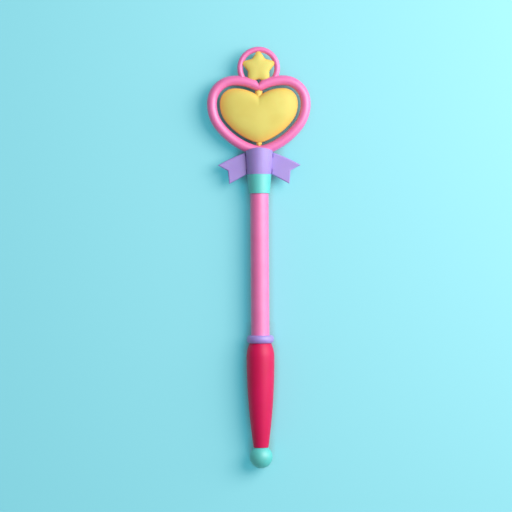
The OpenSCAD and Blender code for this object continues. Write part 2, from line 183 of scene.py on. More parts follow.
# %% [markdown]
# ## Turned pieces
# The ball, grip, ring, shaft, sleeve, collar and axle are all round about the axis. A lathe-like
# spin of a profile would make them, but pulling a circle along the wand ring by ring is easier to
# follow: each step of the profile is a station and a radius. A profile that comes back to its first
# point gives a closed wall with a bore, as the real mouldings have.

# %% Pull a circle along the wand
TURN_SIDES = 128
POLE_R = 0.001 * MM


def turned(name, profile):
    """Pulls a circle through (station, radius) pairs. Radius 0 closes an end in a pole."""
    (y, r), *others = [(y, max(r, POLE_R)) for y, r in profile]
    bpy.ops.object.select_all(action="DESELECT")
    bpy.ops.mesh.primitive_circle_add(
        vertices=TURN_SIDES, radius=r, location=(0, y, axis_z), rotation=(math.pi / 2, 0, 0)
    )
    piece = named(name)
    bpy.ops.object.mode_set(mode="EDIT")
    bpy.ops.mesh.select_all(action="SELECT")
    for y_on, r_on in others:
        bpy.ops.mesh.extrude_region_move(TRANSFORM_OT_translate={"value": (0, y_on - y, 0)})
        grow = r_on / r
        bpy.ops.transform.resize(value=(grow, 1, grow), center_override=(0, y_on, axis_z))
        y, r = y_on, r_on
    bpy.ops.object.mode_set(mode="OBJECT")
    return tidied(piece)


def bowed(distance, length, fall):
    """How far an arc has fallen in at a distance from its crown, if it falls so much over a length."""
    arc_r = (fall**2 + length**2) / (2 * fall)
    return arc_r - math.sqrt(arc_r**2 - distance**2)


def shares(steps):
    """Even shares from 0 to 1."""
    return [step / steps for step in range(steps + 1)]


# %% [markdown]
# ### Shaft
# The shaft is a plain extruded tube that runs from deep inside the grip up to the collar. Its two
# ends are hidden, but they are open and lightly broken, as a sawn tube's are.

# %% Model the shaft
SHAFT_WALL = 2 * MM
FIT_GAP = 0.05 * MM
BREAK = 0.25 * MM
shaft_r = radius_of("shaft_tube")
shaft_foot_y, shaft_top_y = ends("shaft_tube")
bore_r = shaft_r + FIT_GAP

shaft = turned(
    "pink_shaft",
    [
        (shaft_foot_y, shaft_r - SHAFT_WALL),
        (shaft_foot_y, shaft_r),
        (shaft_top_y, shaft_r),
        (shaft_top_y, shaft_r - SHAFT_WALL),
        (shaft_foot_y, shaft_r - SHAFT_WALL),
    ],
)
softened(shaft, BREAK)

# %% [markdown]
# ### Grip
# The grip swells from a narrow foot to a bulge near its top and falls in again over a rounded
# shoulder. Both sides are arcs that leave the bulge upright, so one formula gives them. Inside are
# the socket for the shaft, a narrower bore for the ball's stud and a cup in which the ball sits.

# %% Model the grip
GRIP_SHOULDER = 11.9 * MM
GRIP_FOOT_R = 12.9 / 2 * MM
GRIP_TOP_R = 18.6 / 2 * MM
STUD_R = 7 / 2 * MM
GRIP_STEPS = 40
SHOULDER_STEPS = 16
CUP_STEPS = 6
ball_r = radius_of("end_ball")
grip_r = radius_of("grip")
bulge_y = ring_y - GRIP_SHOULDER
ball_mid_y = ball_y + ball_r
cup_r = ball_r + FIT_GAP

taper_len = bulge_y - grip_y
foot_fall = grip_r - GRIP_FOOT_R
top_fall = grip_r - GRIP_TOP_R
downs = [taper_len * (1 - s) for s in shares(GRIP_STEPS)]
ups = [GRIP_SHOULDER * s for s in shares(SHOULDER_STEPS)[1:]]
flank_below = [(bulge_y - down, grip_r - bowed(down, taper_len, foot_fall)) for down in downs]
flank_above = [(bulge_y + up, grip_r - bowed(up, GRIP_SHOULDER, top_fall)) for up in ups]
cup_mouth_r = math.sqrt(cup_r**2 - (grip_y - ball_mid_y) ** 2)
stud_bore_r = STUD_R + FIT_GAP
cup_radii = [stud_bore_r + (cup_mouth_r - stud_bore_r) * s for s in shares(CUP_STEPS)]
cup = [(ball_mid_y + math.sqrt(cup_r**2 - r**2), r) for r in cup_radii]
bores = [(ring_y, bore_r), (shaft_foot_y, bore_r), (shaft_foot_y, stud_bore_r)]

grip = turned("magenta_grip", flank_below + flank_above + bores + cup + flank_below[:1])
softened(grip, BREAK)

# %% [markdown]
# ### Ring
# A purple ring closes the top of the grip. Its outside is rounded over like a wedding band, and it
# is bored to slide on the shaft. The same arc formula as for the grip gives its crown.

# %% Model the ring
RING_FACE_R = 20.4 / 2 * MM
RING_STEPS = 16
ring_r = radius_of("grip_ring")
half_h = (shaft_y - ring_y) / 2
ring_mid_y = ring_y + half_h
offs = [half_h * (2 * s - 1) for s in shares(RING_STEPS)]
crown = [(ring_mid_y + off, ring_r - bowed(abs(off), half_h, ring_r - RING_FACE_R)) for off in offs]
ring = turned("purple_ring", [(ring_y, bore_r)] + crown + [(shaft_y, bore_r), (ring_y, bore_r)])
softened(ring, BREAK)

# %% [markdown]
# ### Sleeve
# The mint sleeve widens from the shaft towards the collar. It is one tapered wall with a straight
# bore. A small round on its upper rim and a fine bead round its foot catch the light. The bead is an
# arc in the profile, and it stops short of a half circle, so that no sharp corner is left above it.

# %% Model the sleeve
SLEEVE_FOOT_R = 17.7 / 2 * MM
RIM_ROUND = 0.45 * MM
BEAD_R = 0.5 * MM
BEAD_FROM = math.radians(-90)
BEAD_TO = math.radians(45)
BEAD_STEPS = 8
sleeve_r = radius_of("neck_sleeve")
bead_angles = [BEAD_FROM + (BEAD_TO - BEAD_FROM) * s for s in shares(BEAD_STEPS)]
bead = [
    (sleeve_y + BEAD_R * (1 + math.sin(a)), SLEEVE_FOOT_R + BEAD_R * math.cos(a)) for a in bead_angles
]
to_collar = [(collar_y, sleeve_r), (collar_y, bore_r), (sleeve_y, bore_r)]
sleeve = turned("mint_sleeve", [(sleeve_y, bore_r)] + bead + to_collar)
softened(sleeve, RIM_ROUND)

# %% [markdown]
# ### End ball
# The ball is a sphere with a stud that goes up into the grip. Turning it in one go from the pole at
# the bottom to the end of the stud gives one closed skin, where a sphere and a rod would cross.

# %% Model the ball
BALL_STEPS = 56
neck_angle = math.acos(STUD_R / ball_r)
ball_angles = [-math.pi / 2 + (math.pi / 2 + neck_angle) * s for s in shares(BALL_STEPS)]
ball = turned(
    "mint_ball",
    [(ball_mid_y + ball_r * math.sin(a), ball_r * math.cos(a)) for a in ball_angles]
    + [(stud_y, STUD_R), (stud_y, 0)],
)
softened(ball, BREAK)

# %% [markdown]
# ## Heart rim
# The rim is a round bar bent into a heart and moulded in two halves, front and rear, that meet in a
# fine seam round its side. Its middle line is a chain of arcs, each tangent to the next: foot,
# lower side, upper side, lobe, top and the small turn in the cleft. A curve with a bevel would also
# give a bar, but spinning a section about one centre after another follows the arcs exactly.

# %% Work out the arcs of the heart
INSIDE = 0.05 * MM
TUBE_R = 8.8 / 2 * MM
LOBE_X = 21.3 * MM
LOBE_R = 19.4 * MM
TOP_R = 40.3 * MM
TOP_JOIN = math.radians(88)
SIDE_R = 31.2 * MM
SIDE_JOIN = math.radians(6)
LOW_R = 61 * MM
LOW_JOIN = math.radians(-38)
FOOT_R = 19.3 * MM
CLEFT_FILLET = 0.8 * MM
HOOP_BAR_R = 4.9 / 2 * MM
HOOP_R = 37.2 / 2 * MM - HOOP_BAR_R
HOOP_RISE = 12 * MM


def heading(angle):
    """Unit direction at an angle in the plane of the heart."""
    return Vector((math.cos(angle), math.sin(angle)))


lobe_c = Vector((LOBE_X, 0))
top_c = lobe_c + (LOBE_R - TOP_R) * heading(TOP_JOIN)
side_c = lobe_c + (LOBE_R - SIDE_R) * heading(SIDE_JOIN)
low_c = side_c + (SIDE_R - LOW_R) * heading(LOW_JOIN)
foot_join = -math.acos(-low_c.x / (LOW_R - FOOT_R))
foot_c = low_c + (LOW_R - FOOT_R) * heading(foot_join)
cleft_r = TUBE_R + CLEFT_FILLET
cleft_c = Vector((0, top_c.y + math.sqrt((TOP_R + cleft_r) ** 2 - top_c.x**2)))
cleft_join = math.atan2(cleft_c.y - top_c.y, -top_c.x)

# %% Place the heart on the wand
hoop_end = -math.asin(HOOP_RISE / HOOP_R)
hoop_foot = HOOP_R * heading(hoop_end)
hoop_foot_y = top_c.y + math.sqrt(TOP_R**2 - (hoop_foot.x - top_c.x) ** 2)
hoop_y = ends("star_hoop")[1] - HOOP_R - HOOP_BAR_R
heart_y = hoop_y - hoop_foot_y - HOOP_RISE


def heart_arcs(inset):
    """The arcs of the right half from the foot up, set in from the rim's middle line."""
    top_end = math.acos(-top_c.x / (TOP_R - inset))
    return [
        (foot_c, FOOT_R - inset, -math.pi / 2, foot_join),
        (low_c, LOW_R - inset, foot_join, LOW_JOIN),
        (side_c, SIDE_R - inset, LOW_JOIN, SIDE_JOIN),
        (lobe_c, LOBE_R - inset, SIDE_JOIN, TOP_JOIN),
        (top_c, TOP_R - inset, TOP_JOIN, top_end),
    ]


hoop_arc = (Vector((0, hoop_y - heart_y)), HOOP_R, hoop_end, math.pi / 2)
rim_arcs = heart_arcs(0)[:4] + [
    (top_c, TOP_R, TOP_JOIN, cleft_join),
    (cleft_c, cleft_r, cleft_join + math.pi, 1.5 * math.pi),
]
print(f"lobes level with {heart_y / MM:.1f} mm, hoop's middle at {hoop_y / MM:.1f} mm")

# %% [markdown]
# The section is a circle whose lower half is deleted and closed with one straight edge. The two
# corners that this leaves are bevelled, and the bevels of both halves make the seam. With no window
# open, spin turns clockwise for a positive angle, so it gets the angle with its sign changed.

# %% Spin a section through the arcs
BAR_SIDES = 64
SPIN_LENGTH = 0.9 * MM
LEAST_STEPS = 3
SEAM = 0.16 * MM


def spun(arcs):
    """Spins what is selected in edit mode through one arc after another."""
    for centre, r, start, end in arcs:
        steps = max(LEAST_STEPS, math.ceil(abs(end - start) * r / SPIN_LENGTH))
        middle = (centre.x, centre.y + heart_y, axis_z)
        bpy.ops.mesh.spin(steps=steps, angle=start - end, center=middle, axis=(0, 0, 1))


def section(name, bar_r, arc, sides):
    """A round section that stands across the start of an arc."""
    centre, r, start, _ = arc
    place = centre + r * heading(start)
    bpy.ops.object.select_all(action="DESELECT")
    bpy.ops.mesh.primitive_circle_add(
        vertices=sides,
        radius=bar_r,
        location=(place.x, place.y + heart_y, axis_z),
        rotation=(math.pi / 2, 0, start),
    )
    return named(name)


def mirrored(piece):
    """Mirrors a right half to the left and merges the two where they meet on the axis."""
    modified(piece, "MIRROR", use_axis=(True, False, False), merge_threshold=MERGE)
    return piece


def bar(name, bar_r, arcs):
    """A full-round bar along arcs of the right half, mirrored and closed at its ends."""
    piece = section(name, bar_r, arcs[0], BAR_SIDES)
    pick(piece, lambda at: True)
    spun(arcs)
    bpy.ops.object.mode_set(mode="OBJECT")
    mirrored(piece)
    tidied(piece)
    pick(piece, lambda at: True)
    bpy.ops.mesh.fill_holes(sides=BAR_SIDES)
    bpy.ops.object.mode_set(mode="OBJECT")
    return tidied(piece)


# %% Model the front half of the rim
rim_front = section("heart_rim_front", TUBE_R - INSIDE, rim_arcs[0], BAR_SIDES)
pick(rim_front, lambda at: at.z < axis_z - SEAM)
bpy.ops.mesh.delete(type="VERT")
bpy.ops.object.mode_set(mode="OBJECT")
pick(rim_front, lambda at: at.z < axis_z + SEAM / 2)
bpy.ops.mesh.edge_face_add()
bpy.ops.mesh.bevel(offset=SEAM, segments=1, affect="VERTICES")
bpy.ops.mesh.select_all(action="SELECT")
spun(rim_arcs)
bpy.ops.object.mode_set(mode="OBJECT")
mirrored(rim_front)
tidied(rim_front)

# %% [markdown]
# Where the two lobes meet in the cleft, the moulding folds in to a crease. We pinch the one ring of
# vertices there towards the heart, and let its neighbours follow with a sharp falloff.

# %% Pinch the cleft
PINCH = 0.7
PINCH_ABOVE = 2 * MM
PINCH_REACH = 3.2 * MM
cleft_edge_y = heart_y + cleft_c.y - cleft_r - TUBE_R

pick(rim_front, lambda at: abs(at.x) < MERGE and at.y > heart_y)
bpy.ops.transform.resize(
    value=(1, PINCH, 1),
    center_override=(0, cleft_edge_y + PINCH_ABOVE, axis_z),
    use_proportional_edit=True,
    use_proportional_connected=True,
    proportional_edit_falloff="SHARP",
    proportional_size=PINCH_REACH,
)
bpy.ops.object.mode_set(mode="OBJECT")

# %% [markdown]
# Below the rim each half has half of a stem, which goes down into the collar. We add a rod, slice
# it along the seam with a bisect and join it to the bar by a union.

# %% Add the stem
STEM_R = 8 / 2 * MM
STEM_LEN = 40 * MM
rim_foot_y = heart_y + foot_c.y - FOOT_R

bpy.ops.object.select_all(action="DESELECT")
bpy.ops.mesh.primitive_cylinder_add(
    vertices=BAR_SIDES,
    radius=STEM_R,
    depth=STEM_LEN,
    location=(0, rim_foot_y - STEM_LEN / 2, axis_z),
    rotation=(math.pi / 2, 0, 0),
)
stem = named("stem_half")
bpy.ops.object.mode_set(mode="EDIT")
bpy.ops.mesh.select_all(action="SELECT")
bpy.ops.mesh.bisect(plane_co=(0, 0, axis_z), plane_no=(0, 0, 1), use_fill=True, clear_inner=True)
bpy.ops.object.mode_set(mode="OBJECT")
combined(rim_front, stem, "UNION")

# %% [markdown]
# The rim is hollowed where other pieces go into it: two sockets for the feet of the hoop, and a
# bearing at the cleft and at the foot for the axle. Each is cut with a bar that is a gap thicker.

# %% Cut the sockets and bearings
JOURNAL_R = 3.2 / 2 * MM
JOURNAL_LEN = 5 * MM
foot_edge_y = heart_y + foot_c.y - FOOT_R + TUBE_R

combined(rim_front, bar("hoop_socket", HOOP_BAR_R + FIT_GAP, [hoop_arc]))
for edge_y, into in ((cleft_edge_y, JOURNAL_LEN), (foot_edge_y, -JOURNAL_LEN)):
    bearing = [(edge_y - into, 0), (edge_y - into, JOURNAL_R + FIT_GAP)]
    bearing += [(edge_y + into, JOURNAL_R + FIT_GAP), (edge_y + into, 0)]
    combined(rim_front, turned("bearing", bearing))

# %% [markdown]
# The rear half is the front half turned over. A copy is made with its own mesh and scaled by minus
# one through the seam, which turns its faces inside out, so its normals are worked out again.

# %% Copy the rear half
ACROSS_SEAM = (1, 1, -1)


def flipped_copy(piece, name, flip):
    """A copy with its own mesh, flipped over the seam or over the wand's axis."""
    alone(piece)
    bpy.ops.object.duplicate()
    copy = named(name)
    bpy.ops.object.mode_set(mode="EDIT")
    bpy.ops.mesh.select_all(action="SELECT")
    bpy.ops.transform.resize(value=flip, center_override=(0, 0, axis_z))
    bpy.ops.object.mode_set(mode="OBJECT")
    return tidied(copy)


rim_rear = flipped_copy(rim_front, "heart_rim_rear", ACROSS_SEAM)
shaded(rim_front)
shaded(rim_rear)

# %% [markdown]
# ## Star hoop
# The hoop is a thinner round bar that stands on the rim's two lobes. It is one arc, so one spin
# makes it, and its open ends, which sit in sockets in the rim, are filled.

# %% Model the hoop
hoop = bar("pink_hoop", HOOP_BAR_R, [hoop_arc])
shaded(hoop)

# %% [markdown]
# ## Ribbon collar
# The collar is a tapered cone with an arched crown, and a spigot below it that goes into the shaft.
# The crown is the only part that isn't round about the axis: seen from the front it is an arc. So
# the cone is turned a little too long and then cut by a wide upright cylinder with a boolean. The
# rim's foot sits in a groove across the crown, cut by a bar that is thicker by the gap.

# %% Turn the collar
COLLAR_FOOT_R = 21.2 / 2 * MM
COLLAR_TOP_R = 24.4 / 2 * MM
SPIGOT_R = shaft_r - SHAFT_WALL - FIT_GAP
OVERRUN = 1 * MM
taper = (COLLAR_TOP_R - COLLAR_FOOT_R) / (crown_y - collar_y)
stem_bore_r = STEM_R + FIT_GAP
collar = turned(
    "ribbon_collar_band",
    [
        (spigot_y, stem_bore_r),
        (spigot_y, SPIGOT_R),
        (collar_y, SPIGOT_R),
        (collar_y, COLLAR_FOOT_R),
        (crown_y + OVERRUN, COLLAR_TOP_R + OVERRUN * taper),
        (crown_y + OVERRUN, stem_bore_r),
        (spigot_y, stem_bore_r),
    ],
)

# %% Arch its crown
CROWN_R = 28 * MM
ARCH_SIDES = 512
ARCH_DEPTH = 4 * COLLAR_TOP_R

bpy.ops.object.select_all(action="DESELECT")
bpy.ops.mesh.primitive_cylinder_add(
    vertices=ARCH_SIDES,
    radius=CROWN_R,
    depth=ARCH_DEPTH,
    location=(0, crown_y - CROWN_R, axis_z),
)
arch = named("crown_arch")
combined(collar, arch, "INTERSECT")

# %% Cut the groove for the rim's foot
foot_arcs = rim_arcs[:2]
combined(collar, bar("groove_bar", TUBE_R + FIT_GAP, foot_arcs))
softened(collar, RIM_ROUND)

# %% Cut the slots for the tabs of the tails
ROOT_DROP = 3.9 * MM
TAB_DEPTH = 4 * MM
TAB_H = 11 * MM
tail_low, tail_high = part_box("ribbon_tail_right")
ribbon_t = tail_high.z - tail_low.z
root_y = crown_y - ROOT_DROP
tab_x = COLLAR_FOOT_R - TAB_DEPTH
tab_mid_y = (root_y + collar_y) / 2

for hand in (1, -1):
    bpy.ops.object.select_all(action="DESELECT")
    bpy.ops.mesh.primitive_cube_add(
        size=1,
        location=(hand * (tab_x - FIT_GAP + COLLAR_TOP_R / 2), tab_mid_y, axis_z),
        scale=(COLLAR_TOP_R, TAB_H + 2 * FIT_GAP, ribbon_t + 2 * FIT_GAP),
    )
    combined(collar, named("tab_slot"))
shaded(collar)

# %% [markdown]
# ## Ribbon tails
# Each tail is a flat moulded plate in the shape of a swallowtail, plugged into the collar by a tab.
# Its upper edge is slightly bowed. We draw the outline by pulling one vertex from corner to corner,
# fill it and pull it up. A bevel would run into itself at the narrow points, so the round edge is
# made by insets: each draws the face in a little more than the last, and lifts it a little less.

# %% Draw the outline of a tail
TAIL_POINTS = [(36.2 * MM, 14.9 * MM), (27.3 * MM, 19.8 * MM), (26.2 * MM, 31.2 * MM)]
TAIL_BOW = 0.6 * MM
BOW_STEPS = 10


def flank(y):
    """A point on the collar's flank, just clear of it."""
    return Vector((COLLAR_FOOT_R + taper * (y - collar_y) + FIT_GAP, y))


root = flank(root_y)
points = [Vector((reach, crown_y - drop)) for reach, drop in TAIL_POINTS]
tab_foot_y = tab_mid_y - TAB_H / 2
run = points[0] - root
outward = Vector((-run.y, run.x)).normalized()
# 4 s (1 - s) is a parabola that is 0 at both ends and 1 in the middle.
bow = [root + s * run + 4 * s * (1 - s) * TAIL_BOW * outward for s in shares(BOW_STEPS)[1:-1]]
tail_outline = (
    [root]
    + bow
    + points
    + [flank(collar_y), flank(tab_foot_y)]
    + [Vector((tab_x, tab_foot_y)), Vector((tab_x, tab_foot_y + TAB_H))]
    + [flank(tab_foot_y + TAB_H)]
)

# %% Model the right tail
TAIL_EDGE = 1.2 * MM
TAIL_EDGE_STEPS = 5


def drawn(name, outline, z):
    """Pulls one vertex through the corners of an outline and fills it with a face."""
    here = outline[0]
    bpy.ops.object.select_all(action="DESELECT")
    bpy.ops.mesh.primitive_plane_add(size=MM, location=(here.x, here.y, z))
    piece = named(name)
    bpy.ops.object.mode_set(mode="EDIT")
    bpy.ops.mesh.select_all(action="SELECT")
    bpy.ops.mesh.merge(type="CENTER")
    for corner in outline[1:]:
        step = (corner.x - here.x, corner.y - here.y, 0)
        bpy.ops.mesh.extrude_region_move(TRANSFORM_OT_translate={"value": step})
        here = corner
    bpy.ops.mesh.select_all(action="SELECT")
    bpy.ops.mesh.edge_face_add()
    bpy.ops.object.mode_set(mode="OBJECT")
    return piece


tail_right = drawn("ribbon_end_right", tail_outline, axis_z)
pick(tail_right, lambda at: True)
straight = ribbon_t / 2 - TAIL_EDGE
bpy.ops.mesh.extrude_region_move(TRANSFORM_OT_translate={"value": (0, 0, straight)})
angles = [math.pi / 2 * s for s in shares(TAIL_EDGE_STEPS)]
for angle, angle_on in zip(angles, angles[1:]):
    bpy.ops.mesh.inset(thickness=TAIL_EDGE * (math.cos(angle) - math.cos(angle_on)))
    lift = TAIL_EDGE * (math.sin(angle_on) - math.sin(angle))
    bpy.ops.transform.translate(value=(0, 0, lift))
bpy.ops.object.mode_set(mode="OBJECT")

# %% Close it with the same shape behind
pick(tail_right, lambda at: at.z < axis_z + MERGE)
bpy.ops.mesh.delete(type="ONLY_FACE")
bpy.ops.mesh.select_all(action="SELECT")
bpy.ops.mesh.duplicate()
bpy.ops.transform.resize(value=ACROSS_SEAM, center_override=(0, 0, axis_z))
bpy.ops.object.mode_set(mode="OBJECT")
tidied(tail_right)
softened(tail_right, BREAK)

# %% Mirror it to the left
ACROSS_AXIS = (-1, 1, 1)
tail_left = shaded(flipped_copy(tail_right, "ribbon_end_left", ACROSS_AXIS))

# %% [markdown]
# ## Puffed heart
# The heart follows the rim's own arcs, set in by the bar's radius and a running gap. It is moulded
# as two hollow shells. Subdividing a cage would puff it up too, but would shrink its outline, so the
# outline is pulled up ring by ring towards a peak. The rings follow a quarter ellipse that a power
# below 1 makes fuller, so the face stays flat for longer and turns down near its edge. The cleft
# carries on up the face as a soft crease, just as on a blown-up heart.

# %% Pull an outline up to a peak
PEAK_SHARE = 1e-6


def puffed(peak, edge, height, steps, puff):
    """Pulls the selected outline up to a peak, in rings along a fuller quarter ellipse."""
    bpy.ops.mesh.extrude_region_move(TRANSFORM_OT_translate={"value": (0, 0, edge)})
    rise, share = edge, 1
    for step in range(1, steps + 1):
        angle = math.pi / 2 * step / steps
        rise_on = edge + (height - edge) * math.sin(angle) ** puff
        share_on = max(math.cos(angle) ** puff, PEAK_SHARE)
        bpy.ops.mesh.extrude_region_move(TRANSFORM_OT_translate={"value": (0, 0, rise_on - rise)})
        shrink = share_on / share
        bpy.ops.transform.resize(value=(shrink, shrink, 1), center_override=peak)
        rise, share = rise_on, share_on


# %% Make a dome of the heart's outline
CLEFT_ROUND = 2.6 * MM
CORNER_STEPS = 8
PEAK_DROP = 6 * MM
HEART_PUFF = 0.8
PUFF_STEPS = 24
CREASE_LOW = 3 * MM
CREASE_SMOOTH = 60
SMOOTH_SHARE = 0.5


def heart_dome(name, inset, foot_z, edge, height):
    """A puffed half heart that is closed underneath, set in from the rim's middle line."""
    foot_y = heart_y + foot_c.y - (FOOT_R - inset)
    bpy.ops.object.select_all(action="DESELECT")
    bpy.ops.mesh.primitive_plane_add(size=MM, location=(0, foot_y, foot_z))
    piece = named(name)
    pick(piece, lambda at: True)
    bpy.ops.mesh.merge(type="CENTER")
    spun(heart_arcs(inset))
    bpy.ops.object.mode_set(mode="OBJECT")
    mirrored(piece)
    pick(piece, lambda at: abs(at.x) < MERGE and at.y > heart_y)
    bpy.ops.mesh.bevel(offset=CLEFT_ROUND, segments=CORNER_STEPS, affect="VERTICES")
    bpy.ops.mesh.select_all(action="SELECT")
    puffed((0, heart_y - PEAK_DROP, foot_z), edge, height, PUFF_STEPS, HEART_PUFF)
    bpy.ops.object.mode_set(mode="OBJECT")
    pick(piece, lambda at: at.z < foot_z + MERGE)
    bpy.ops.mesh.edge_face_add()
    bpy.ops.object.mode_set(mode="OBJECT")
    tidied(piece)
    pick(piece, lambda at: at.z > axis_z + CREASE_LOW)
    bpy.ops.mesh.vertices_smooth(factor=SMOOTH_SHARE, repeat=CREASE_SMOOTH)
    bpy.ops.object.mode_set(mode="OBJECT")
    return piece


# %% [markdown]
# The wall could be given by Solidify, but near the edge the dome turns so sharply that the inner
# skin would fold over itself. So the hollow is a second, smaller dome that is cut out of the first.
# The corner at the foot is bevelled, and the bevels of both shells make the seam round the heart.

# %% Model the front shell
HEART_GAP = 2.4 * MM
HEART_EDGE = 0.9 * MM
HEART_WALL = 2 * MM
SEAM_ANGLE = math.radians(80)
heart_inset = TUBE_R + HEART_GAP
shell_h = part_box("heart_shell_front")[1].z - axis_z

shell_front = heart_dome("heart_shell_front_skin", heart_inset, axis_z, HEART_EDGE, shell_h)
bevelled(shell_front, SEAM, 1, SEAM_ANGLE)
hollow_h = shell_h - HEART_WALL + OVERRUN
hollow = heart_dome("heart_hollow", heart_inset + HEART_WALL, axis_z - OVERRUN, OVERRUN, hollow_h)
combined(shell_front, hollow)

# %% [markdown]
# Last comes the axle's bore, half in each shell. It is wider above the cleft, where the post goes in.

# %% Bore it for the axle and copy it
AXLE_R = 4.8 / 2 * MM
POST_LIFT = 0.6 * MM
POST_R = 6.4 / 2 * MM
END_GAP = 0.4 * MM
tip_y = heart_y + foot_c.y - (FOOT_R - heart_inset)
notch_end = heart_arcs(heart_inset)[-1][3]
notch_y = heart_y + (top_c + (TOP_R - heart_inset) * heading(notch_end)).y
post_top_y = cleft_edge_y - END_GAP + POST_LIFT

bore = turned(
    "axle_bore",
    [
        (tip_y - OVERRUN, 0),
        (tip_y - OVERRUN, AXLE_R + FIT_GAP),
        (notch_y - HEART_WALL, AXLE_R + FIT_GAP),
        (notch_y - HEART_WALL, POST_R + FIT_GAP),
        (post_top_y + OVERRUN, POST_R + FIT_GAP),
        (post_top_y + OVERRUN, 0),
    ],
)
combined(shell_front, bore)
shell_rear = flipped_copy(shell_front, "heart_shell_rear_skin", ACROSS_SEAM)
shaded(shell_front)
shaded(shell_rear)

# %% [markdown]
# ## Axle
# A stepped axle carries the heart: a journal at each end that turns in the rim, the axle through
# the heart and a thicker post that shows above the cleft. It is one more turned piece.

# %% Model the axle
axle_low_y, axle_high_y = ends("heart_axle")
foot_inner_r = FOOT_R - TUBE_R
low_shoulder_y = heart_y + foot_c.y - math.sqrt(foot_inner_r**2 - AXLE_R**2) + END_GAP
axle = turned(
    "yellow_axle",
    [
        (axle_low_y, 0),
        (axle_low_y, JOURNAL_R),
        (low_shoulder_y, JOURNAL_R),
        (low_shoulder_y, AXLE_R),
        (notch_y - HEART_WALL, AXLE_R),
        (notch_y - HEART_WALL, POST_R),
        (post_top_y, POST_R),
        (post_top_y, JOURNAL_R),
        (axle_high_y, JOURNAL_R),
        (axle_high_y, 0),
    ],
)
softened(axle, BREAK)

# %% [markdown]
# ## Star
# The star starts as a circle of ten vertices. Every other one is drawn in to make the valleys, and
# all ten are rounded with a vertex bevel, whose reach along the edges comes from the rounding and
# the angle of each corner. Then it is puffed up as the heart is, front and back.

# %% Draw the star's outline
STAR_TIP_R = 32.8 / 2 * MM
STAR_VALLEY_R = 19.4 / 2 * MM
STAR_ROUND = 2.8 * MM
STAR_EDGE = 4 / 2 * MM
STAR_PUFF = 0.75
STAR_RISE = 0.1 * MM
STAR_POINTS = 5
STAR_SMOOTH = 40
STAR_STEPS = 12
star_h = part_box("star")[1].z - axis_z
star_mid = Vector((0, hoop_y + STAR_RISE, axis_z))

bpy.ops.object.select_all(action="DESELECT")
bpy.ops.mesh.primitive_circle_add(vertices=2 * STAR_POINTS, radius=STAR_TIP_R, location=star_mid)
star = named("yellow_star")
pick(star, lambda at: math.cos(STAR_POINTS * math.atan2(at.x, at.y - star_mid.y)) < 0)
draw_in = STAR_VALLEY_R / STAR_TIP_R
bpy.ops.transform.resize(value=(draw_in, draw_in, 1), center_override=star_mid)
bpy.ops.object.mode_set(mode="OBJECT")

# %% Round its points and valleys
turn = math.pi / STAR_POINTS
edge_run = STAR_TIP_R * heading(0) - STAR_VALLEY_R * heading(turn)
tip_half = math.atan2(abs(edge_run.y), edge_run.x)
for corner_r, half_angle in ((STAR_TIP_R, tip_half), (STAR_VALLEY_R, tip_half + turn)):
    pick(star, lambda at: abs((at - star_mid).length - corner_r) < MERGE)
    reach = STAR_ROUND / math.tan(half_angle)
    bpy.ops.mesh.bevel(offset=reach, segments=CORNER_STEPS, affect="VERTICES")
    bpy.ops.object.mode_set(mode="OBJECT")

# %% Puff it up, front and back
alone(star)
bpy.ops.object.mode_set(mode="EDIT")
bpy.ops.mesh.select_all(action="SELECT")
puffed(star_mid, STAR_EDGE, star_h, STAR_STEPS, STAR_PUFF)
bpy.ops.object.mode_set(mode="OBJECT")
tidied(star)
pick(star, lambda at: at.z > axis_z + STAR_EDGE + MERGE)
bpy.ops.mesh.vertices_smooth(factor=SMOOTH_SHARE, repeat=STAR_SMOOTH)
bpy.ops.mesh.select_all(action="SELECT")
bpy.ops.mesh.duplicate()
bpy.ops.transform.resize(value=ACROSS_SEAM, center_override=star_mid)
bpy.ops.object.mode_set(mode="OBJECT")
tidied(star)

# %% [markdown]
# The star's points are let into the hoop and its legs into the rim. Cutting it with both bars, a gap
# thicker, gives it hollows that fit round them.

# %% Fit it to the hoop and the rim
combined(star, bar("hoop_hollow", HOOP_BAR_R + FIT_GAP, [hoop_arc]))
lobe_arcs = rim_arcs[3:]
combined(star, bar("rim_hollow", TUBE_R + FIT_GAP, lobe_arcs))
shaded(star)

# %% [markdown]
# ## Finishes
# All the pieces are ABS plastic, and all but the extruded shaft come from steel moulds. So one recipe
# serves them: a colour that drifts a little where the melt flowed, a fine grain such as spark-eroded
# moulds leave, and a satin gloss that drifts with it. Each finish then has its own colour and gloss.
# A photo of such plastic would give this too, but nodes keep their real scale on every piece. Colours
# are written as sRGB hex values, which one function turns into the linear numbers that the shader
# wants.

# %% Colours and nodes
def linear(hex_colour):
    """An sRGB hex value as linear RGBA."""
    parts = [int(hex_colour[i : i + 2], 16) / 255 for i in (1, 3, 5)]
    return [p / 12.92 if p <= 0.04045 else ((p + 0.055) / 1.055) ** 2.4 for p in parts] + [1]


def put(tree, kind, settings=None, ordered=(), **feeds):
    """Adds one node. Each socket, in order or by name, gets a value or another node's output."""
    node = tree.nodes.new(kind)
    for key, value in (settings or {}).items():
        setattr(node, key, value)
    by_name = [(node.inputs[name.replace("_", " ")], feed) for name, feed in feeds.items()]
    for socket, feed in list(zip(node.inputs, ordered)) + by_name:
        if isinstance(feed, bpy.types.NodeSocket):
            tree.links.new(feed, socket)
        else:
            socket.default_value = feed
    return node
